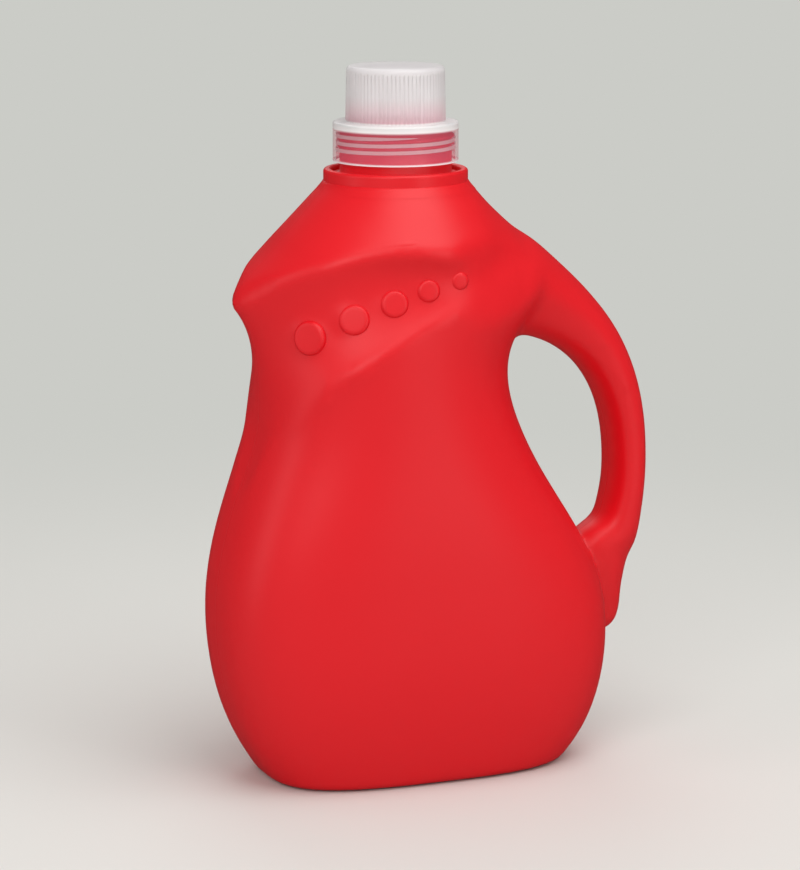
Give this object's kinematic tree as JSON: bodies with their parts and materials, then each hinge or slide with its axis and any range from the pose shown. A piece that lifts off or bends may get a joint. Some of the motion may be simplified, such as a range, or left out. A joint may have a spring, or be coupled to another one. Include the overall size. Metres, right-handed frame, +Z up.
{
  "type": "plastic jerrycan",
  "caption": "Blow-moulded plastic jerrycan with a grip in one piece with its body, a hollow waist band with raised discs, and a translucent screw cap that doubles as a dosing cup.",
  "frame": {"origin": "middle of the overall width and depth, on the surface the jerrycan stands on", "axes": "+Z up, +X towards the grip, -Y towards the front; the neck's axis is parallel to Z at X = -0.018"},
  "size_m": [0.2039, 0.1062, 0.31],
  "materials": {
    "bottle": "satin, with a fine grain from the blow mould",
    "cap": "natural translucent polypropylene, satin",
    "sealing_ring": "soft white foam liner"
  },
  "bodies": {
    "bottle": {"bottle": "bottle"},
    "seal": {"sealing_ring": "sealing_ring"},
    "cap": {"cap": "cap"}
  },
  "joints": [
    {"name": "cap_lift", "type": "slide", "parent": "bottle", "child": "seal", "axis": [0, 0, 1], "range_m": [0, 0.006]},
    {"name": "cap_turn", "type": "hinge", "parent": "seal", "child": "cap", "pos_m": [-0.018, 0, 0.2847], "axis": [0, 0, 1], "range_deg": [0, 720]}
  ],
  "couplings": [
    {"joint": "cap_lift", "follows": "cap_turn", "m_per_rad": 0.00047746}
  ]
}
